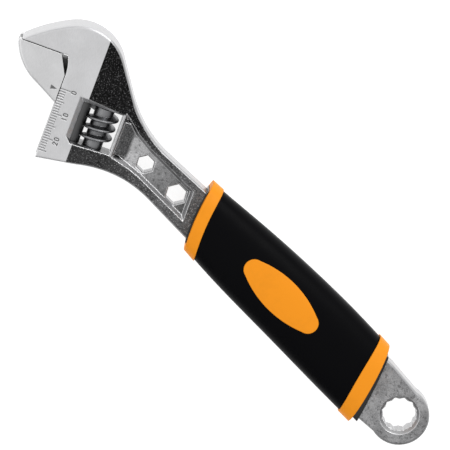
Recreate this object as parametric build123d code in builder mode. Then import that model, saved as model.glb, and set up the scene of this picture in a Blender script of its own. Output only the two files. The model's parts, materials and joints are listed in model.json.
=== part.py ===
"""Adjustable wrench with a 12-point ring end, two hex sockets in the neck and a two-colour grip.

The wrench lies flat with its scale side up.  All sketches are drawn in one of two
frames: the handle frame, whose origin is the centre of the ring and whose x axis runs
from the head to the tail, and the head frame, whose origin is the throat of the jaws
and which is turned by the jaw angle.  In the head frame v is the direction of the
slide, positive towards the fixed jaw, and u points to the handle.
"""
import os
from math import cos, sin, pi, radians, copysign

from build123d import *

os.makedirs("parts", exist_ok=True)

# ---------------------------------------------------------------- driving dimensions (mm)
datum_x, datum_y = 97.25, 2.16      # centre of the ring, measured from the middle of the tool
mid_height = 8.735                  # middle plane above the surface that the wrench lies on
jaw_angle = 25.5                    # jaws to handle
throat_x, throat_y = -187.96, 9.07  # throat of the jaws in the handle frame

head_half = 6.25                    # half thickness of the ground head
flange_half = 4.0                   # half thickness of the neck and the tail plate
web_half = 2.4                      # half thickness of the web in the neck
ground_edge = 11.45                 # u where the ground face ends
ramp_end = 34.8                     # u where the forged ramp meets the neck
rim_radius = 1.0                    # rounded edge along the outline
ramp_radius = 20                    # blends at both ends of the ramp
beyond = 150                        # longer than any cut or profile needs to be
heel_v = -41.5                      # lower end of the ground face

jaw_gap = 0.3                       # opening of the jaws at rest
jaw_side_gap = 0.25                 # between the sliding jaw and the edge of the head
nose_u, jaw_tip_u = -19.9, -20.8    # tips of the fixed and of the sliding jaw
throat_relief_u, throat_relief_v = -1.8, -7.6
relief_bulge_u, relief_bulge_v = -0.6, -3.2
chin_radius = 1.4                   # rounded outer edge of the sliding jaw
jaw_relief = 2.3                    # the sliding jaw stops short of the relief

bar_u, bar_radius = 9.4, 4.3        # round bar of the sliding jaw, with the rack
rib_half = 2.5                      # rib that joins the bar to the jaw
rib_bottom, rib_top, rib_left = -17.4, -2.2, -3.3
slide_clearance = 0.08
bar_top, bar_bottom = -2.4, -31.6   # v of the two ends of the bar
bore_top, slit_top = -1.6, -1.6

window_left, window_right = 10.0, 26.0
window_top, window_bottom = -15.05, -31.2
bevel_left, bevel_top, bevel_bottom = 2.0, 1.75, 0.6
bevel_depth, bevel_corner = 1.7, 2.4
pocket_draft = 38                   # degrees
pocket_left = 28.6                  # u of the floor's end beside the window
wedge_left, wedge_right, wedge_top, wedge_length = 27.4, 32.8, 17.3, 13.0
wedge_rise, wedge_land = 1.5, 0.6    # floor of the pocket rising beside the window

worm_u, worm_radius, worm_core = 18.85, 6.3, 3.75
worm_bottom, worm_length = -31.1, 15.6
lead = 3.8
thread_start, thread_turns = -28.1, 3
thread_root, thread_crest = 2.3, 0.6
rack_mean_radius = 5.6
rack_slack = 0.2
rack_slots = 7
pin_radius, pin_screw_radius, pin_fit = 1.4, 2.0, 0.02
pin_foot, pin_shoulder, pin_tip = -38.2, -31.3, -9.8     # v of the ends of the pin's two parts
pin_slot_width, pin_slot_depth = 0.8, 1.1
running_gap = 0.05
spring_seat_radius, spring_seat_depth = 2.6, 6.0
spring_mean, spring_wire, spring_turns = 2.0, 0.3, 5.0

scale_zero_v, scale_length = -12.9, 25
engraving = 0.15
tick_width = 0.34
tick_short, tick_medium, tick_long = 2.4, 3.2, 4.0
digit_height, digit_width, digit_stroke = 2.1, 1.25, 0.36
digit_u, digit_pitch = 5.3, 1.75

hex_1_x, hex_1_flats = -138.6, 6.0
hex_2_x, hex_2_flats = -122.1, 7.0
hex_y = -0.95
hex_mouth = 0.45
ring_flats, ring_mouth_radius, ring_mouth_depth = 12.0, 7.8, 1.2

liner_wall = 1.0
grip_squareness = 2.6               # exponent of the grip's rounded sections
collar_rise = 0.55
badge_x, badge_y, badge_length, badge_width = -66.7, 1.0, 37.5, 14.2
badge_rise, badge_depth = 0.2, 1.2

# ---------------------------------------------------------------- frames
slant = radians(jaw_angle)
handle = Plane(origin=(datum_x, datum_y, mid_height))


def from_head(u, v):
    """A point of the head frame, in the handle frame."""
    return (throat_x + u * cos(slant) - v * sin(slant), throat_y + u * sin(slant) + v * cos(slant))


throat = handle.from_local_coords(Vector(throat_x, throat_y, 0))
head = Plane(origin=throat, x_dir=(cos(slant), sin(slant), 0), z_dir=(0, 0, 1))
across_head = Plane(origin=throat, x_dir=head.x_dir, z_dir=-head.y_dir)   # u and height


def shaft_plane(u, v):
    """Plane across the slide direction at (u, v), facing the fixed jaw."""
    return Plane(origin=head.from_local_coords(Vector(u, v, 0)), x_dir=head.x_dir, z_dir=head.y_dir)


def place_in_handle(edge):
    """Middle of an edge in the handle frame."""
    return handle.to_local_coords(edge.center())


# ---------------------------------------------------------------- forged body
def is_rim(edge):
    """Outer edges of the two faces: brow, upper side, ring end, lower side and heel."""
    spot = place_in_handle(edge)
    upper = spot.Y > 5 and not (spot.X < -180 and spot.Y < 8.5)
    lower = spot.Y < -9 and spot.X > -170
    tail = spot.X > -2
    return abs(spot.Z) > flange_half - 0.1 and (upper or lower or tail)


with BuildPart() as body:
    # plan of the whole forging, from the nose over the neck to the ring and back
    with BuildSketch(handle.offset(-head_half)):
        with BuildLine():
            nose = from_head(nose_u, 0)
            nose_side = ThreePointArc(nose, (-202.5, 8.2), (-196.9, 16.9))
            brow = TangentArc(nose_side @ 1, (-172.0, 20.9), tangent=nose_side % 1)
            forehead = Line(brow @ 1, (-160.0, 13.9))
            upper_neck = TangentArc(forehead @ 1, (-135.6, 7.5), tangent=forehead % 1)
            upper_tail = Line((-16.0, 12.0), (-2.0, 10.9))
            Line(upper_neck @ 1, upper_tail @ 0)
            tail_end = ThreePointArc(upper_tail @ 1, (12.1, -0.3), (-2.2, -11.8))
            lower_tail = Line(tail_end @ 1, (-11.0, -12.45))
            lower_side = Line(lower_tail @ 1, (-128.0, -9.7))
            lower_neck = TangentArc(lower_side @ 1, (-157.0, -19.2), tangent=lower_side % 1)
            scale_edge = Polyline(lower_neck @ 1, from_head(0, heel_v), from_head(0, throat_relief_v))
            relief = ThreePointArc(
                scale_edge @ 1, from_head(relief_bulge_u, relief_bulge_v), from_head(throat_relief_u, 0))
            Line(relief @ 1, nose)
        make_face()
    extrude(amount=2 * head_half)

    # side profile: ground head, forged ramp, flat neck and tail
    with BuildSketch(across_head):
        with BuildLine():
            top_line = FilletPolyline(
                (-beyond, head_half), (ground_edge + 1, head_half), (ramp_end, flange_half),
                (2 * beyond, flange_half), radius=ramp_radius)
            under_line = FilletPolyline(
                (-beyond, -head_half), (ground_edge + 1, -head_half), (ramp_end, -flange_half),
                (2 * beyond, -flange_half), radius=ramp_radius)
            Line(top_line @ 0, under_line @ 0)
            Line(top_line @ 1, under_line @ 1)
        make_face()
    extrude(amount=beyond, both=True, mode=Mode.INTERSECT)
    fillet(body.edges().filter_by(is_rim), radius=rim_radius)

    # round way for the bar and the slit for its rib
    with BuildSketch(shaft_plane(bar_u, -beyond)):
        Circle(bar_radius + slide_clearance)
    extrude(amount=bore_top + beyond, mode=Mode.SUBTRACT)
    with BuildSketch(shaft_plane(bar_u, -beyond)):
        Rectangle(2 * bar_u, 2 * (rib_half + slide_clearance), align=(Align.MAX, Align.CENTER))
    extrude(amount=slit_top + beyond, mode=Mode.SUBTRACT)

    # window for the worm, with bevelled edges on both faces
    window_width = window_right - window_left
    window_height = window_top - window_bottom
    window_middle = ((window_left + window_right) / 2, (window_top + window_bottom) / 2)
    with BuildSketch(head.offset(-head_half)):
        with Locations(window_middle):
            Rectangle(window_width, window_height)
    extrude(amount=2 * head_half, mode=Mode.SUBTRACT)
    for side in (-1, 1):
        with BuildSketch(head.offset(side * head_half)):
            with BuildLine():
                Polyline(
                    (window_left - bevel_left, window_bottom - bevel_bottom + bevel_corner),
                    (window_left - bevel_left + bevel_corner, window_bottom - bevel_bottom),
                    (window_right, window_bottom - bevel_bottom),
                    (window_right, window_top + bevel_top),
                    (window_left - bevel_left, window_top + bevel_top), close=True)
            make_face()
        with BuildSketch(head.offset(side * (head_half - bevel_depth))):
            with BuildLine():
                Polyline(
                    (window_left, window_bottom + bevel_corner / 4),
                    (window_left + bevel_corner / 4, window_bottom), (window_right, window_bottom),
                    (window_right, window_top), (window_left, window_top), close=True)
            make_face()
        loft(mode=Mode.SUBTRACT)

    # drafted pocket in both faces of the neck, with a rising floor beside the window
    for side in (-1, 1):
        face = handle if side > 0 else Plane(origin=handle.origin, x_dir=(1, 0, 0), z_dir=(0, 0, -1))
        with BuildSketch(face.offset(web_half)):
            with BuildLine():
                floor = [
                    from_head(pocket_left, -17.4), (-149.0, 4.5), (-141.0, 3.75), (-119.3, 3.75),
                    (-115.0, -4.9), (-137.0, -4.9), from_head(pocket_left, -30.4)]
                Polyline(*[(x, side * y) for x, y in floor], close=True)
            make_face()
        extrude(amount=6, taper=-pocket_draft, mode=Mode.SUBTRACT)
    with BuildSketch(across_head.offset(wedge_top)):
        with BuildLine():
            Polyline(
                (wedge_left, web_half + wedge_rise), (wedge_left + wedge_land, web_half + wedge_rise),
                (wedge_right, web_half), (wedge_right, -web_half),
                (wedge_left + wedge_land, -web_half - wedge_rise),
                (wedge_left, -web_half - wedge_rise), close=True)
        make_face()
    extrude(amount=wedge_length)

    # hex sockets and the 12-point ring
    for spot_x, flats in ((hex_1_x, hex_1_flats), (hex_2_x, hex_2_flats)):
        with BuildSketch(handle.offset(-web_half)):
            with Locations((spot_x, hex_y)):
                RegularPolygon(flats / 2, 6, major_radius=False)
        extrude(amount=2 * web_half, mode=Mode.SUBTRACT)
        for side in (-1, 1):
            with BuildSketch(handle.offset(side * web_half)):
                with Locations((spot_x, hex_y)):
                    RegularPolygon(flats / 2 + hex_mouth, 6, major_radius=False)
            extrude(amount=-side * 2 * hex_mouth, taper=45, mode=Mode.SUBTRACT)
    with BuildSketch(handle.offset(-flange_half)):
        RegularPolygon(ring_flats / 2, 6, major_radius=False)
        RegularPolygon(ring_flats / 2, 6, major_radius=False, rotation=30)
    extrude(amount=2 * flange_half, mode=Mode.SUBTRACT)
    for side in (-1, 1):
        with BuildSketch(handle.offset(side * flange_half)):
            Circle(ring_mouth_radius)
        extrude(amount=-side * ring_mouth_depth, taper=45, mode=Mode.SUBTRACT)

    # holes for the worm's pin: threaded below the window, blind above it
    with BuildSketch(shaft_plane(worm_u, -beyond)):
        Circle(pin_screw_radius + pin_fit)
    extrude(amount=window_bottom + beyond + 0.1, mode=Mode.SUBTRACT)
    with BuildSketch(shaft_plane(worm_u, window_top - 0.1)):
        Circle(pin_radius + pin_fit)
    extrude(amount=pin_tip - window_top + 0.5, mode=Mode.SUBTRACT)

    # engraved millimetre scale
    with BuildSketch(head.offset(head_half - engraving)):
        for step in range(scale_length + 1):
            length = tick_long if step % 10 == 0 else tick_medium if step % 5 == 0 else tick_short
            with Locations((-0.5, scale_zero_v - step)):
                Rectangle(length + 0.5, tick_width, align=(Align.MIN, Align.CENTER))
    extrude(amount=2 * engraving, mode=Mode.SUBTRACT)
    for number in ("0", "10", "20"):
        for place, digit in enumerate(number):
            digit_v = scale_zero_v - int(number) + (place - (len(number) - 1) / 2) * digit_pitch
            spot = head.from_local_coords(Vector(digit_u, digit_v, head_half - engraving))
            with BuildSketch(Plane(origin=spot, x_dir=head.y_dir, z_dir=(0, 0, 1))):
                if digit == "0":
                    SlotOverall(digit_height, digit_width, rotation=90)
                    SlotOverall(
                        digit_height - 2 * digit_stroke, digit_width - 2 * digit_stroke,
                        rotation=90, mode=Mode.SUBTRACT)
                elif digit == "1":
                    Rectangle(digit_stroke, digit_height)
                else:
                    reach, rise = (digit_width - digit_stroke) / 2, (digit_height - digit_stroke) / 2
                    with BuildLine():
                        bow = ThreePointArc((-reach, rise - reach), (0, rise), (reach, rise - reach))
                        Polyline(bow @ 1, (-reach, -rise), (reach, -rise))
                    trace(line_width=digit_stroke)
            extrude(amount=2 * engraving, mode=Mode.SUBTRACT)
    body.part.label = "body"
export_step(body.part, "parts/body.step")

# ---------------------------------------------------------------- sliding jaw with its rack
with BuildPart() as movable_jaw:
    with BuildSketch(head.offset(-head_half)):
        with BuildLine():
            side_u = -jaw_side_gap
            chin = Line((side_u, -19.3), (-9.2, -14.4))
            cheek = ThreePointArc(chin @ 1, (-16.75, -8.9), (-21.0, -1.9))
            Polyline(
                cheek @ 1, (jaw_tip_u, -jaw_gap), (throat_relief_u - jaw_relief, -jaw_gap),
                (side_u, -7.8), chin @ 0)
        make_face()
    extrude(amount=2 * head_half)
    chin_edges = movable_jaw.edges().filter_by(
        lambda e: abs(abs(place_in_handle(e).Z) - head_half) < 0.01
        and head.to_local_coords(e.center()).Y < head.to_local_coords(e.center()).X * 0.1 - 6.5
        and head.to_local_coords(e.center()).X < -2)
    fillet(chin_edges, radius=chin_radius)

    # rib and round bar
    with BuildSketch(shaft_plane(0, rib_bottom)):
        with Locations((bar_u, 0)):
            Rectangle(bar_u - rib_left, 2 * rib_half, align=(Align.MAX, Align.CENTER))
    extrude(amount=rib_top - rib_bottom)
    with BuildSketch(shaft_plane(bar_u, bar_bottom)):
        Circle(bar_radius)
    extrude(amount=bar_top - bar_bottom)

    # rack slots: rings cut to the worm's thread, tilted by its helix
    tilt = lead / (2 * pi * rack_mean_radius)
    for step in range(rack_slots + 1):
        spot = head.from_local_coords(Vector(worm_u, thread_start + step * lead, 0))
        axis_dir = Vector(head.y_dir.X, head.y_dir.Y, -tilt)
        tooth_plane = Plane(origin=spot, x_dir=-head.x_dir, z_dir=(-head.x_dir).cross(axis_dir))
        root_half = thread_root / 2 + rack_slack
        crest_half = thread_crest / 2 + rack_slack
        with BuildSketch(tooth_plane):
            with BuildLine():
                Polyline(
                    (worm_core, -root_half), (worm_radius + rack_slack, -crest_half),
                    (worm_radius + rack_slack, crest_half), (worm_core, root_half), close=True)
            make_face()
        revolve(axis=Axis(spot, axis_dir), mode=Mode.SUBTRACT)

    # engraved pointer beside the scale
    with BuildSketch(head.offset(head_half - engraving)):
        with BuildLine():
            Polyline((-3.7, -12.7), (-3.75, -14.5), (-1.1, -13.7), close=True)
        make_face()
    extrude(amount=2 * engraving, mode=Mode.SUBTRACT)
    movable_jaw.part.label = "movable_jaw"
export_step(movable_jaw.part, "parts/movable_jaw.step")

# ---------------------------------------------------------------- worm, its pin and spring
thread_plane = Plane(
    origin=head.from_local_coords(Vector(worm_u, thread_start, 0)),
    x_dir=-head.x_dir, z_dir=head.y_dir)
thread_path = thread_plane.location * Helix(lead, thread_turns * lead, worm_core - 0.2)

with BuildPart() as worm:
    with BuildSketch(shaft_plane(worm_u, worm_bottom)):
        Circle(worm_core)
    extrude(amount=worm_length)
    with BuildSketch(Plane(origin=thread_path @ 0, x_dir=-head.x_dir, z_dir=thread_path % 0)):
        with BuildLine():
            Polyline(
                (0, -thread_root / 2), (0.2, -thread_root / 2),
                (worm_radius - worm_core, -thread_crest / 2 - 0.1),
                (worm_radius - worm_core + 0.2, -thread_crest / 2 + 0.15),
                (worm_radius - worm_core + 0.2, thread_crest / 2 - 0.15),
                (worm_radius - worm_core, thread_crest / 2 + 0.1),
                (0.2, thread_root / 2), (0, thread_root / 2), close=True)
        make_face()
    sweep(path=thread_path, is_frenet=True)
    with BuildSketch(shaft_plane(worm_u, worm_bottom)):
        Circle(pin_radius + running_gap)
    extrude(amount=worm_length, mode=Mode.SUBTRACT)
    with BuildSketch(shaft_plane(worm_u, worm_bottom + worm_length)):
        Circle(spring_seat_radius)
    extrude(amount=-spring_seat_depth, mode=Mode.SUBTRACT)
    worm.part.label = "worm"
export_step(worm.part, "parts/worm.step")

with BuildPart() as worm_pin:
    with BuildSketch(shaft_plane(worm_u, pin_foot)):
        Circle(pin_screw_radius)
    extrude(amount=pin_shoulder - pin_foot)
    with BuildSketch(shaft_plane(worm_u, pin_shoulder)):
        Circle(pin_radius)
    extrude(amount=pin_tip - pin_shoulder)
    with BuildSketch(shaft_plane(worm_u, pin_foot)):
        Rectangle(3 * pin_screw_radius, pin_slot_width)
    extrude(amount=pin_slot_depth, mode=Mode.SUBTRACT)
    worm_pin.part.label = "worm_pin"
export_step(worm_pin.part, "parts/worm_pin.step")

spring_seat = worm_bottom + worm_length - spring_seat_depth
spring_rise = window_top - spring_seat - 2 * spring_wire - 0.1
spring_plane = shaft_plane(worm_u, spring_seat + spring_wire + 0.05)
coil = spring_plane.location * Helix(spring_rise / spring_turns, spring_rise, spring_mean)

with BuildPart() as worm_spring:
    with BuildSketch(Plane(origin=coil @ 0, z_dir=coil % 0)):
        Circle(spring_wire)
    sweep(path=coil, is_frenet=True)
    worm_spring.part.label = "worm_spring"
export_step(worm_spring.part, "parts/worm_spring.step")

# ---------------------------------------------------------------- grip
# one section: distance from the ring, upper and lower side, half thickness
grip_sections = (
    (-117.0, 12.1, -12.7, 7.0), (-100.0, 13.2, -13.9, 7.6), (-84.0, 14.5, -14.7, 8.2),
    (-65.0, 15.5, -15.0, 8.5), (-45.0, 15.9, -15.3, 8.5), (-27.0, 15.5, -15.6, 8.2),
    (-9.0, 14.9, -15.8, 7.8))


def rounded_section(at_x, upper, lower, half, growth):
    """Sketch of one closed section of the grip, a rounded rectangle without corners."""
    half_width = (upper - lower) / 2 + growth
    points = []
    for step in range(24):
        turn = 2 * pi * step / 24
        across = copysign(abs(cos(turn)) ** (2 / grip_squareness), cos(turn))
        rise = copysign(abs(sin(turn)) ** (2 / grip_squareness), sin(turn))
        points.append(((upper + lower) / 2 + half_width * across, (half + growth) * rise))
    plane = Plane(
        origin=handle.from_local_coords(Vector(at_x, 0, 0)), x_dir=(0, 1, 0), z_dir=(1, 0, 0))
    with BuildSketch(plane) as section:
        with BuildLine():
            Spline(*points, periodic=True)
        make_face()
    return section.sketch


def grip_form(growth):
    """The grip's outer form, grown by some thickness."""
    with BuildPart() as form:
        loft(sections=[rounded_section(*row, growth) for row in grip_sections])
    return form.part


def slanted_band(front, back):
    """Block between two arcs across the handle, each given by three plan points."""
    with BuildPart() as band:
        with BuildSketch(handle.offset(-20)):
            with BuildLine():
                front_arc = ThreePointArc(*front)
                back_arc = ThreePointArc(*back)
                Line(front_arc @ 0, back_arc @ 0)
                Line(front_arc @ 1, back_arc @ 1)
            make_face()
        extrude(amount=40)
    return band.part


front_edge = ((-116.4, 17.0), (-111.6, 0.3), (-101.8, -18.0))
front_seam = ((-111.2, 17.0), (-106.4, 0.3), (-96.2, -18.0))
rear_seam = ((-27.6, 18.0), (-23.1, 0.3), (-16.4, -18.0))
rear_edge = ((-22.9, 18.0), (-16.4, 0.3), (-11.2, -18.0))
liner_front = ((-116.1, 17.0), (-112.3, 0.3), (-101.9, -18.0))
liner_rear = ((-22.0, 18.0), (-14.5, 0.3), (-8.3, -18.0))

plain_form = grip_form(0)
proud_form = grip_form(collar_rise)

with BuildPart() as liner_core:
    with BuildSketch(handle.offset(-flange_half - liner_wall)):
        with BuildLine():
            Polyline(
                (-119.0, 8.2 + liner_wall), (-5.0, 12.55 + liner_wall),
                (-5.0, -12.6 - liner_wall), (-119.0, -10.0 - liner_wall), close=True)
        make_face()
    extrude(amount=2 * (flange_half + liner_wall))
    fillet(liner_core.edges().filter_by(lambda e: abs(e.tangent_at(0.5).X) > 0.9), radius=1.0)

with BuildPart() as grip_liner:
    add(liner_core.part)
    add(slanted_band(liner_front, liner_rear), mode=Mode.INTERSECT)
    add(body.part, mode=Mode.SUBTRACT)
    grip_liner.part.label = "grip_liner"
export_step(grip_liner.part, "parts/grip_liner.step")


def badge_block(side):
    """Oval block through one face of the grip."""
    with BuildPart() as block:
        with BuildSketch(handle):
            with BuildLine():
                half_long, half_wide = badge_length / 2, badge_width / 2
                upper = ThreePointArc(
                    (badge_x - half_long + 3.2, badge_y + 4.0), (badge_x, badge_y + half_wide),
                    (badge_x + half_long - 3.2, badge_y + 4.0))
                lower = ThreePointArc(
                    (badge_x - half_long + 3.2, badge_y - 4.0), (badge_x, badge_y - half_wide),
                    (badge_x + half_long - 3.2, badge_y - 4.0))
                ThreePointArc(upper @ 0, (badge_x - half_long, badge_y), lower @ 0)
                ThreePointArc(upper @ 1, (badge_x + half_long, badge_y), lower @ 1)
            make_face()
        extrude(amount=side * 15)
    return block.part


badge_floor = grip_form(-badge_depth)
badge_skin = grip_form(badge_rise)
for name, side in (("badge_front", 1), ("badge_back", -1)):
    with BuildPart() as badge:
        add(badge_block(side))
        add(badge_skin, mode=Mode.INTERSECT)
        add(badge_floor, mode=Mode.SUBTRACT)
        badge.part.label = name
    export_step(badge.part, f"parts/{name}.step")

with BuildPart() as grip_cover:
    add(plain_form)
    add(slanted_band(front_seam, rear_seam), mode=Mode.INTERSECT)
    add(liner_core.part, mode=Mode.SUBTRACT)
    for side in (-1, 1):
        add(badge_block(side) - badge_floor, mode=Mode.SUBTRACT)
    grip_cover.part.label = "grip_cover"
export_step(grip_cover.part, "parts/grip_cover.step")

for name, front, back in (
        ("front_collar", front_edge, front_seam), ("rear_collar", rear_seam, rear_edge)):
    with BuildPart() as collar:
        add(proud_form)
        add(slanted_band(front, back), mode=Mode.INTERSECT)
        add(liner_core.part, mode=Mode.SUBTRACT)
        collar.part.label = name
    export_step(collar.part, f"parts/{name}.step")
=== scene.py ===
"""Adjustable wrench: surface looks, floor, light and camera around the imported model."""
import json
import math

import bpy
from mathutils import Matrix, Vector


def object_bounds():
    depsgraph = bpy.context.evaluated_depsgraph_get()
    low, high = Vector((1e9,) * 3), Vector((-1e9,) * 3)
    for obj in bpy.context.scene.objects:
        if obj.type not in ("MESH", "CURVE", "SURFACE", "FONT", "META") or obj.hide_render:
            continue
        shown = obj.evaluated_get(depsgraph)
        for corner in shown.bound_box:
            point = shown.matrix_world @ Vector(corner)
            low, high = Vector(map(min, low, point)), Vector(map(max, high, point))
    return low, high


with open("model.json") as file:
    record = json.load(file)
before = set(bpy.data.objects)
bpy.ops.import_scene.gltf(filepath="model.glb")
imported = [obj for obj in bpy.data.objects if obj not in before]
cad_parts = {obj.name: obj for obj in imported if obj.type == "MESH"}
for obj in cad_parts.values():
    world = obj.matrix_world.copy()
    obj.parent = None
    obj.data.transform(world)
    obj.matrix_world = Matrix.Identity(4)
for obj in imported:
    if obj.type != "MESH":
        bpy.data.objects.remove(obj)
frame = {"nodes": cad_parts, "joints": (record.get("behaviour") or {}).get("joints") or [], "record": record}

cad_bounds = [list(corner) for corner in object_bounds()]

# ---------------------------------------------------------------- places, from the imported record
MM = 0.001
UP = Vector((0, 0, 1))
HANDLE = Vector((1, 0, 0))     # from the head to the ring
JAW_DEPTH = 10.0               # from the jaw_opening mount to the throat
HALF_GAP = 0.15                # from the same mount to the fixed jaw's face
mounts = {mount["name"]: Vector(mount["pos_m"]) for mount in frame["record"]["mounts"]}
joints = {joint["name"]: joint for joint in frame["joints"]}

slide = -Vector(joints["jaw_slide"]["axis"])            # towards the fixed jaw
across = Vector((slide.y, -slide.x, 0))                 # from the jaws to the handle
ring = mounts["ring_socket_12"]
throat = mounts["jaw_opening"] + (JAW_DEPTH * across + HALF_GAP * slide) * MM

# sizes on the steel, in millimetres: u runs along across and v along slide, both from the throat,
# and a height is the distance from the middle plane
HEAD_FACE = 6.25               # half thickness of the ground head
ENGRAVED = 0.15                # depth of the engraved marks
MARK_TOP = HEAD_FACE - 0.3 * ENGRAVED
MARK_MIDDLE = HEAD_FACE - 0.6 * ENGRAVED
MARK_FLOOR = HEAD_FACE - 0.9 * ENGRAVED
MARK_TONE_U = (4.02, 4.18)     # u between the scale's ticks and its darker numbers
GROUND_EDGE = 11.45            # u where the ground face ends
WEB_FACE = 2.4                 # half thickness of the web in the neck
EDGE_WEAR_AND_HIGHLIGHT = 0.6                # radius over which an edge of the body is worn and painted bright as a highlight

# bands across the body: where each begins, where it is full, up to where it is full, where it ends
LAND_U = (25.8, 26.0, 26.9, 27.2)          # land between the window and the pocket, painted bright as a highlight
LAND_V = (-32.0, -31.4, -14.8, -14.2)
WEDGE_U = (27.4, 27.8, 31.6, 32.8)         # dark floor of the pocket, rising to the land
WEDGE_V = (-32.0, -31.5, -16.5, -16.0)
BEVEL_U = (7.6, 7.9, 26.0, 26.3)           # bright bevel around the window
BEVEL_V = (-32.0, -31.6, -13.2, -12.9)
SCALE_V = (-38.6, -38.2, -12.4, -12.0)     # strip of the scale, whose edges get no wear and no painted highlight
SCALE_U = (6.6, 6.2)                       # u where that strip ends

# stretches of the handle, in millimetres from the ring, over which a tone changes
NECK_FADE = (-158, -118)
NECK_CORNER_FADE = (-100, -150)
WEB_FADE = (-114, -150)
RING_FADE = (-60, -30)
SPARKLE_FADE = (-172, -130)
SPARKLE_RING_FADE = (-40, -80)
NECK_CORNER_V = (-18, -32)     # this one runs along v

# on the sliding jaw
FACE_END_U = (0.6, 1.4)        # behind this the jaw is painted dark, as painted shade
RIB_HEIGHT = (2.8, 2.6)        # and so is its rib, below this height

# cosines between which a mask goes from 0 to 1
FLAT = (0.93, 0.97)
WALL = (0.30, 0.20)
WORN_HIGHLIT_EDGE = (0.995, 0.86)

# values of a noise between which a tone or a roughness changes
WIDE = (0.2, 0.8)
MIDDLE = (0.3, 0.7)


# ---------------------------------------------------------------- node graphs
class Graph:
    """One material's node graph, in millimetres of the model at rest."""
    RAY_SAMPLES = 6

    def __init__(self, name, colour=(0.5, 0.5, 0.5), metallic=0.0, roughness=0.5, specular=0.5):
        self.material = bpy.data.materials.new(name)
        self.material.use_nodes = True
        self.tree = self.material.node_tree
        self.shader = self.tree.nodes["Principled BSDF"]
        self.shader.inputs["Base Color"].default_value = (*colour, 1)
        self.shader.inputs["Metallic"].default_value = metallic
        self.shader.inputs["Roughness"].default_value = roughness
        self.shader.inputs["Specular IOR Level"].default_value = specular
        coordinates = self.tree.nodes.new("ShaderNodeTexCoord")
        self.normal = coordinates.outputs["Normal"]
        self.place = self.vector("SCALE", coordinates.outputs["Object"], scale=1 / MM)

    def put(self, socket, value):
        """Links a socket to a value, or sets the value on it."""
        if isinstance(value, bpy.types.NodeSocket):
            self.tree.links.new(value, socket)
        else:
            socket.default_value = value

    def set(self, name, value):
        """Feeds one input of the surface shader."""
        self.put(self.shader.inputs[name], value)

    def vector(self, operation, first, second=None, scale=None):
        node = self.tree.nodes.new("ShaderNodeVectorMath")
        node.operation = operation
        self.put(node.inputs[0], first)
        if second is not None:
            self.put(node.inputs[1], second)
        if scale is not None:
            node.inputs["Scale"].default_value = scale
        return node.outputs["Value" if operation == "DOT_PRODUCT" else "Vector"]

    def math(self, operation, first, second=0.0):
        node = self.tree.nodes.new("ShaderNodeMath")
        node.operation = operation
        self.put(node.inputs[0], first)
        self.put(node.inputs[1], second)
        return node.outputs[0]

    def total(self, first, second):
        return self.math("ADD", first, second)

    def product(self, *factors):
        """Product of numbers; of masks, it is 1 where all of them are."""
        result = factors[0]
        for factor in factors[1:]:
            result = self.math("MULTIPLY", result, factor)
        return result

    def outside(self, mask):
        """1 where the mask is 0."""
        return self.math("SUBTRACT", 1.0, mask)

    def span(self, value, low, high, to_low=0.0, to_high=1.0):
        """Smooth step from to_low to to_high, as value goes from low to high."""
        node = self.tree.nodes.new("ShaderNodeMapRange")
        node.interpolation_type = "SMOOTHSTEP"
        self.put(node.inputs["Value"], value)
        names = ("From Min", "From Max", "To Min", "To Max")
        for name, number in zip(names, (low, high, to_low, to_high)):
            node.inputs[name].default_value = number
        return node.outputs["Result"]

    def band(self, value, begin, full, full_to, end):
        """1 from full to full_to, and 0 before begin and after end."""
        return self.product(self.span(value, begin, full), self.span(value, end, full_to))

    def blend(self, factor, first, second, mode="MIX"):
        """Colour between first and second."""
        node = self.tree.nodes.new("ShaderNodeMix")
        node.data_type = "RGBA"
        node.blend_type = mode
        for socket, value in zip((node.inputs[0], node.inputs[6], node.inputs[7]), (factor, first, second)):
            self.put(socket, value)
        return node.outputs[2]

    def tinted(self, level, tint=(1, 1, 1)):
        """The tint, darkened to a level."""
        return self.blend(level, (0, 0, 0, 1), (*tint, 1))

    def mix(self, factor, first, second):
        """Number between first and second."""
        node = self.tree.nodes.new("ShaderNodeMix")
        node.data_type = "FLOAT"
        for socket, value in zip((node.inputs[0], node.inputs[2], node.inputs[3]), (factor, first, second)):
            self.put(socket, value)
        return node.outputs[0]

    def noise(self, scale, detail=2.0, roughness=0.5, stretch=None, distortion=0.0):
        """Noise whose features are about 1 / scale millimetres, longer along stretch."""
        place = self.place
        if stretch:
            direction, factor = stretch
            part = self.vector("DOT_PRODUCT", place, tuple(direction))
            along = self.tree.nodes.new("ShaderNodeCombineXYZ")
            for socket, number in zip(along.inputs, direction):
                self.put(socket, self.math("MULTIPLY", part, number * (1 / factor - 1)))
            place = self.vector("ADD", place, along.outputs[0])
        node = self.tree.nodes.new("ShaderNodeTexNoise")
        self.put(node.inputs["Vector"], place)
        node.inputs["Scale"].default_value = scale
        node.inputs["Detail"].default_value = detail
        node.inputs["Roughness"].default_value = roughness
        node.inputs["Distortion"].default_value = distortion
        return node.outputs[0]

    def along(self, direction, origin):
        """Millimetres from origin along a direction."""
        start = direction.dot(origin) / MM
        return self.math("SUBTRACT", self.vector("DOT_PRODUCT", self.place, tuple(direction)), start)

    def bump(self, height, distance, strength=1.0, normal=None):
        """Surface normal of a relief, distance in millimetres."""
        node = self.tree.nodes.new("ShaderNodeBump")
        node.inputs["Strength"].default_value = strength
        node.inputs["Distance"].default_value = distance * MM
        self.put(node.inputs["Height"], height)
        if normal is not None:
            self.put(node.inputs["Normal"], normal)
        return node.outputs[0]

    def rounded(self, radius):
        """Normal that rounds every edge, and a mask of the edges."""
        node = self.tree.nodes.new("ShaderNodeBevel")
        node.samples = self.RAY_SAMPLES
        node.inputs["Radius"].default_value = radius * MM
        geometry = self.tree.nodes.new("ShaderNodeNewGeometry")
        level = self.vector("DOT_PRODUCT", node.outputs[0], geometry.outputs["Normal"])
        return node.outputs[0], self.span(level, *WORN_HIGHLIT_EDGE)

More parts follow.
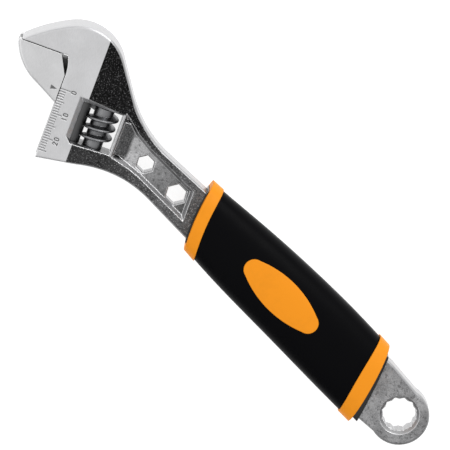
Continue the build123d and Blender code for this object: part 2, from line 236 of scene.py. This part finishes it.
    def recess(self, distance):
        """1 in the open, less in corners and grooves: ambient occlusion, which the looks use as painted
        shade.
        """
        node = self.tree.nodes.new("ShaderNodeAmbientOcclusion")
        node.samples = self.RAY_SAMPLES
        node.only_local = False
        node.inputs["Distance"].default_value = distance * MM
        return node.outputs["AO"]


class Steel(Graph):
    """Steel of the body and the sliding jaw, with its masks and grinding marks."""

    def __init__(self, name):
        super().__init__(name, metallic=1.0)
        self.u = self.along(across, throat)
        self.height = self.math("ABSOLUTE", self.along(UP, ring))
        self.up = self.math("ABSOLUTE", self.vector("DOT_PRODUCT", self.normal, tuple(UP)))
        self.flat = self.span(self.up, *FLAT)
        self.near_face = self.span(self.height, HEAD_FACE - 0.6, HEAD_FACE - 0.4)
        self.grain = self.noise(9.0, 3.0, 0.6, stretch=(slide, 14.0))
        self.clouds = self.noise(0.12, 2.0, 0.5)
        self.grit = self.noise(6.0, 2.0, 0.7)

    def satin(self, dull, bright):
        """Tone of a ground face."""
        marks = self.span(self.grain, *WIDE, dull, bright)
        return self.product(marks, self.span(self.clouds, *MIDDLE, 0.96, 1.03))

    def satin_roughness(self):
        return self.span(self.grain, *WIDE, 0.34, 0.44)


# ---------------------------------------------------------------- materials
def forging(look, v, web, speck, pits):
    """Tone of the forging: near black beside the head, greyer along the neck, mid grey at the ring."""
    handle_x = look.along(HANDLE, ring)
    tone = look.span(handle_x, *NECK_FADE, 0.012, 0.12)
    corner = look.product(look.span(v, *NECK_CORNER_V), look.span(handle_x, *NECK_CORNER_FADE), 0.03)
    tone = look.total(tone, corner)
    tone = look.mix(look.span(handle_x, *RING_FADE), tone, 0.36)
    tone = look.product(tone, look.span(look.clouds, *MIDDLE, 0.75, 1.25))

    web_tone = look.span(handle_x, *WEB_FADE, 0.13, 0.52)
    web_tone = look.product(web_tone, look.span(look.clouds, 0.35, 0.65, 0.8, 1.15))
    tone = look.mix(web, tone, web_tone)

    sparkle = look.product(look.outside(look.product(web, 0.75)), look.span(speck, 0.53, 0.7),
                           look.span(handle_x, *SPARKLE_RING_FADE, 0.3, 1.0))
    tone = look.total(tone, look.product(sparkle, look.span(handle_x, *SPARKLE_FADE, 0.14, 0.34)))
    tone = look.product(tone, look.span(look.grit, 0.3, 0.62, 0.62, 1.15))
    return look.product(tone, look.span(pits, 0.38, 0.46, 0.6, 1.0))


def forged_steel():
    """The body: satin ground head, dark speckled forging, bright edges that are worn and a painted
    highlight, a land painted bright as a highlight, painted shade on the walls.
    """
    look = Steel("forged_steel_look")
    u = look.u
    v = look.along(slide, throat)
    height, flat, grit = look.height, look.flat, look.grit
    speck = look.noise(1.9, 3.0, 0.65)
    pits = look.noise(0.9, 4.0, 0.6, distortion=0.6)

    wall = look.span(look.up, *WALL)
    edge = look.outside(look.math("MAXIMUM", flat, wall))
    on_head = look.span(u, GROUND_EDGE + 0.06, GROUND_EDGE - 0.06)
    ground = look.product(flat, on_head, look.span(height, MARK_MIDDLE, MARK_TOP))
    engraved = look.product(flat, on_head, look.span(height, MARK_MIDDLE, MARK_FLOOR))
    web = look.product(flat, look.span(height, WEB_FACE + 0.3, WEB_FACE + 0.1))
    land_highlight = look.product(look.band(u, *LAND_U), look.band(v, *LAND_V))
    wedge = look.product(look.band(u, *WEDGE_U), look.band(v, *WEDGE_V),
                         look.span(height, WEB_FACE + 1.9, WEB_FACE + 1.6))
    bevel = look.product(edge, look.band(u, *BEVEL_U), look.band(v, *BEVEL_V), look.span(height, 4.2, 4.6))
    scale_strip = look.product(look.span(u, *SCALE_U), look.band(v, *SCALE_V), look.near_face)

    tone = forging(look, v, web, speck, pits)
    # painted highlight: the land is painted bright
    tone = look.mix(look.product(land_highlight, 0.8), tone, 0.6)
    rim = look.total(look.span(grit, *WIDE, 0.36, 0.46), look.product(on_head, 0.2))
    tone = look.mix(edge, tone, rim)
    tone = look.mix(bevel, tone, look.span(grit, *WIDE, 0.56, 0.68))
    # painted shade: the walls darken where ambient occlusion finds them enclosed
    shade = look.span(look.recess(6.0), 0.15, 0.7, 0.2, 1.0)
    tone = look.mix(wall, tone, look.product(shade, look.span(grit, *WIDE, 0.44, 0.56)))
    tone = look.mix(wedge, tone, look.span(speck, 0.4, 0.7, 0.07, 0.2))
    tone = look.mix(ground, tone, look.satin(0.60, 0.72))
    tone = look.mix(engraved, tone, look.span(u, *MARK_TONE_U, 0.36, 0.17))

    # worn edges, also a painted highlight: the rounded edges are painted bright
    rounded, worn_highlit_edge = look.rounded(EDGE_WEAR_AND_HIGHLIGHT)
    worn_highlit_edge = look.product(worn_highlit_edge, look.span(speck, 0.25, 0.5, 0.55, 1.0), look.outside(scale_strip))
    look.set("Base Color", look.tinted(look.mix(worn_highlit_edge, tone, 1.0), (1.0, 1.0, 1.015)))

    rough = look.mix(flat, look.span(grit, *WIDE, 0.26, 0.36), look.span(speck, *MIDDLE, 0.62, 0.46))
    rough = look.mix(ground, rough, look.satin_roughness())
    look.set("Roughness", look.mix(worn_highlit_edge, rough, 0.28))

    cast = look.product(look.outside(ground), flat)
    relief = look.total(look.product(speck, 0.6), look.product(pits, 0.9))
    normal = look.bump(look.product(relief, cast), 0.26, 0.8, rounded)
    look.set("Normal", look.bump(look.product(look.grain, ground), 0.006, 0.5, normal))
    return look.material


def ground_steel():
    """The sliding jaw: satin ground faces, painted shade on its rib and bar behind the throat and in its
    corners, worn edges that are also a painted highlight.
    """
    look = Steel("jaw_steel_look")
    below_face = look.span(look.height, HEAD_FACE - 0.05, HEAD_FACE - 0.12)
    engraved = look.product(look.flat, below_face, look.near_face)
    tone = look.mix(engraved, look.satin(0.62, 0.73), 0.17)
    # painted shade: the rib and bar behind the throat, which sit in shadow, are painted dark
    behind = look.math("MAXIMUM", look.span(look.u, *FACE_END_U), look.span(look.height, *RIB_HEIGHT))
    tone = look.mix(behind, tone, 0.12)
    # painted shade: darker in corners, from ambient occlusion
    tone = look.product(tone, look.span(look.recess(2.2), 0.25, 0.85, 0.12, 1.0))
    # worn edges, also a painted highlight: the edges are painted brighter
    rounded, worn_highlit_edge = look.rounded(0.3)
    look.set("Base Color", look.tinted(look.mix(worn_highlit_edge, tone, 0.84), (1.0, 1.0, 1.01)))
    rough = look.mix(look.flat, look.span(look.grit, *WIDE, 0.26, 0.4), look.satin_roughness())
    look.set("Roughness", look.mix(worn_highlit_edge, rough, 0.28))
    look.set("Normal", look.bump(look.grain, 0.006, 0.5, rounded))
    return look.material


def turned_steel(name, tone, roughness, groove_shade_reach):
    """Small steel pieces: plated or bright, darker and rougher in the grooves, where the darkening is
    painted shade, and worn edges that are also a painted highlight.
    """
    look = Graph(name, metallic=1.0)
    open_part = look.span(look.recess(groove_shade_reach), 0.25, 0.95)
    fine = look.noise(5.0, 3.0, 0.6)
    smear = look.noise(0.8, 2.0, 0.5)
    level = look.product(look.span(fine, 0.25, 0.75, 0.86, 1.08), tone)
    # painted shade: the grooves are darkened by ambient occlusion
    level = look.mix(open_part, look.product(level, 0.22), level)
    # worn edges, also a painted highlight: the edges are painted brighter
    rounded, worn_highlit_edge = look.rounded(0.2)
    level = look.mix(worn_highlit_edge, level, min(1.0, tone * 2.0))
    look.set("Base Color", look.tinted(level, (0.98, 0.99, 1.02)))
    rough = look.total(look.span(smear, *MIDDLE, -0.05, 0.08), roughness)
    look.set("Roughness", look.mix(open_part, look.total(rough, 0.2), rough))
    look.set("Normal", look.bump(fine, 0.008, 0.5, rounded))
    return look.material


def rubber(name, colour, roughness, specular, grain_height):
    """Moulded soft grip: fine leather-like grain, slight handling polish."""
    look = Graph(name, colour, roughness=roughness, specular=specular)
    grain = look.noise(3.2, 4.0, 0.6)
    polish = look.noise(0.06, 2.0, 0.5)
    spots = look.noise(0.35, 3.0, 0.6)
    shade = look.product(look.span(spots, *MIDDLE, 0.98, 1.02), look.span(polish, *MIDDLE, 0.97, 1.03))
    look.set("Base Color", look.blend(1.0, (*colour, 1), look.tinted(shade), "MULTIPLY"))
    rough = look.total(look.span(grain, *MIDDLE, -0.04, 0.05), roughness)
    look.set("Roughness", look.total(rough, look.span(polish, 0.35, 0.65, -0.05, 0.03)))
    rounded, _ = look.rounded(0.5)
    look.set("Normal", look.bump(grain, grain_height, 0.6, rounded))
    return look.material


def dress(node, material):
    """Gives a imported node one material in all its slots."""
    mesh = frame["nodes"][node].data
    if not mesh.materials:
        mesh.materials.append(material)
    for slot in range(len(mesh.materials)):
        mesh.materials[slot] = material


ORANGE = (0.88, 0.295, 0.010)
BLACK = (0.0012, 0.0012, 0.0018)

dress("body", forged_steel())
dress("movable_jaw", ground_steel())
dress("worm", turned_steel("worm_steel_look", tone=0.26, roughness=0.28, groove_shade_reach=2.2))
dress("worm_pin", turned_steel("pin_steel_look", tone=0.5, roughness=0.28, groove_shade_reach=1.5))
dress("worm_spring", turned_steel("spring_steel_look", tone=0.36, roughness=0.3, groove_shade_reach=0.8))
dress("grip_liner", rubber("black_liner_look", BLACK, roughness=0.16, specular=0.5, grain_height=0.01))
dress("grip_cover", rubber("black_grip_look", BLACK, roughness=0.42, specular=0.05, grain_height=0.04))
orange_grip = rubber("orange_grip_look", ORANGE, roughness=0.5, specular=0.15, grain_height=0.03)
for node in ("front_collar", "rear_collar"):
    dress(node, orange_grip)
orange_badge = rubber("orange_badge_look", ORANGE, roughness=0.45, specular=0.15, grain_height=0.015)
for node in ("badge_front", "badge_back"):
    dress(node, orange_badge)

# ---------------------------------------------------------------- the camera's view
VIEW_TURN = math.radians(45.96)       # image right, from +X towards +Y
VIEW_TILT = math.radians(14.98)       # camera leans from straight above towards image up
VIEW_DISTANCE = 1.5
VIEW_WIDTH = 0.1711                   # width of the view at the object
VIEW_FROM_RING = Vector((-100.17, 3.68, 0))   # the view's centre, in millimetres
SENSOR = 36.0
view_centre = ring + VIEW_FROM_RING * MM

image_right = Vector((math.cos(VIEW_TURN), math.sin(VIEW_TURN), 0))
image_up = Vector((-math.sin(VIEW_TURN), math.cos(VIEW_TURN), 0))
towards_camera = math.cos(VIEW_TILT) * UP + math.sin(VIEW_TILT) * image_up
camera_up = math.cos(VIEW_TILT) * image_up - math.sin(VIEW_TILT) * UP


def facing(place, aim, up):
    """Matrix of a camera or light at place that looks at aim."""
    back = (place - aim).normalized()
    right = up.cross(back).normalized()
    turn = Matrix((right, back.cross(right), back)).transposed()
    return Matrix.Translation(place) @ turn.to_4x4()


camera = bpy.data.cameras.new("camera")
camera.sensor_width = SENSOR
camera.lens = SENSOR * VIEW_DISTANCE / VIEW_WIDTH
camera.clip_end = 50
camera_object = bpy.data.objects.new("camera", camera)
camera_object.matrix_world = facing(view_centre + VIEW_DISTANCE * towards_camera, view_centre, camera_up)
bpy.context.scene.collection.objects.link(camera_object)
bpy.context.scene.camera = camera_object

# ---------------------------------------------------------------- floor and light
FLOOR_HALF = 1.6                      # half the floor's side
FLOOR_GAP = 0.02                      # floor below the wrench, in millimetres
LIGHT_DISTANCE = 1.1
SKY_LEAN = (-0.75, 0.55)              # from the darkest to the brightest direction
SKY_LEVEL = (0.12, 0.98)


def floor():
    """Plain pale floor; a weak glow keeps the shadow faint."""
    level = cad_bounds[0][2] - FLOOR_GAP * MM
    mesh = bpy.data.meshes.new("floor")
    signs = ((-1, -1), (1, -1), (1, 1), (-1, 1))
    corners = [(x * FLOOR_HALF, y * FLOOR_HALF, level) for x, y in signs]
    mesh.from_pydata(corners, [], [(0, 1, 2, 3)])
    plane = bpy.data.objects.new("floor", mesh)
    bpy.context.scene.collection.objects.link(plane)
    look = Graph("floor_look", (0.5, 0.5, 0.5), roughness=0.9, specular=0.1)
    look.set("Emission Color", (1, 1, 1, 1))
    look.set("Emission Strength", 0.8)
    mesh.materials.append(look.material)


def softbox(name, direction, side, radiance):
    """Square light that faces the wrench from a direction."""
    light = bpy.data.lights.new(name, "AREA")
    light.shape = "RECTANGLE"
    light.size, light.size_y = side, side
    light.energy = radiance * math.pi * side * side
    lamp = bpy.data.objects.new(name, light)
    place = view_centre + LIGHT_DISTANCE * direction.normalized()
    lamp.matrix_world = facing(place, view_centre, UP)
    bpy.context.scene.collection.objects.link(lamp)


def sky():
    """Soft surround: bright overhead and behind the wrench, darker in front of it."""
    world = bpy.data.worlds.new("surround")
    world.use_nodes = True
    bpy.context.scene.world = world
    tree = world.node_tree
    background = tree.nodes["Background"]
    background.inputs["Color"].default_value = (1, 1, 1, 1)
    coordinates = tree.nodes.new("ShaderNodeTexCoord")
    lean = tree.nodes.new("ShaderNodeVectorMath")
    lean.operation = "DOT_PRODUCT"
    lean.inputs[1].default_value = tuple((0.8 * image_up + 0.6 * UP).normalized())
    tree.links.new(coordinates.outputs["Generated"], lean.inputs[0])
    level = tree.nodes.new("ShaderNodeMapRange")
    names = ("From Min", "From Max", "To Min", "To Max")
    for name, number in zip(names, SKY_LEAN + SKY_LEVEL):
        level.inputs[name].default_value = number
    tree.links.new(lean.outputs["Value"], level.inputs["Value"])
    tree.links.new(level.outputs["Result"], background.inputs["Strength"])


floor()
sky()
softbox("key", 0.75 * UP + 0.45 * image_right + 0.55 * image_up, side=0.5, radiance=4.0)
softbox("fill", 0.8 * UP - 0.8 * image_right - 0.35 * image_up, side=0.6, radiance=0.8)
bpy.context.scene.view_settings.view_transform = "Standard"
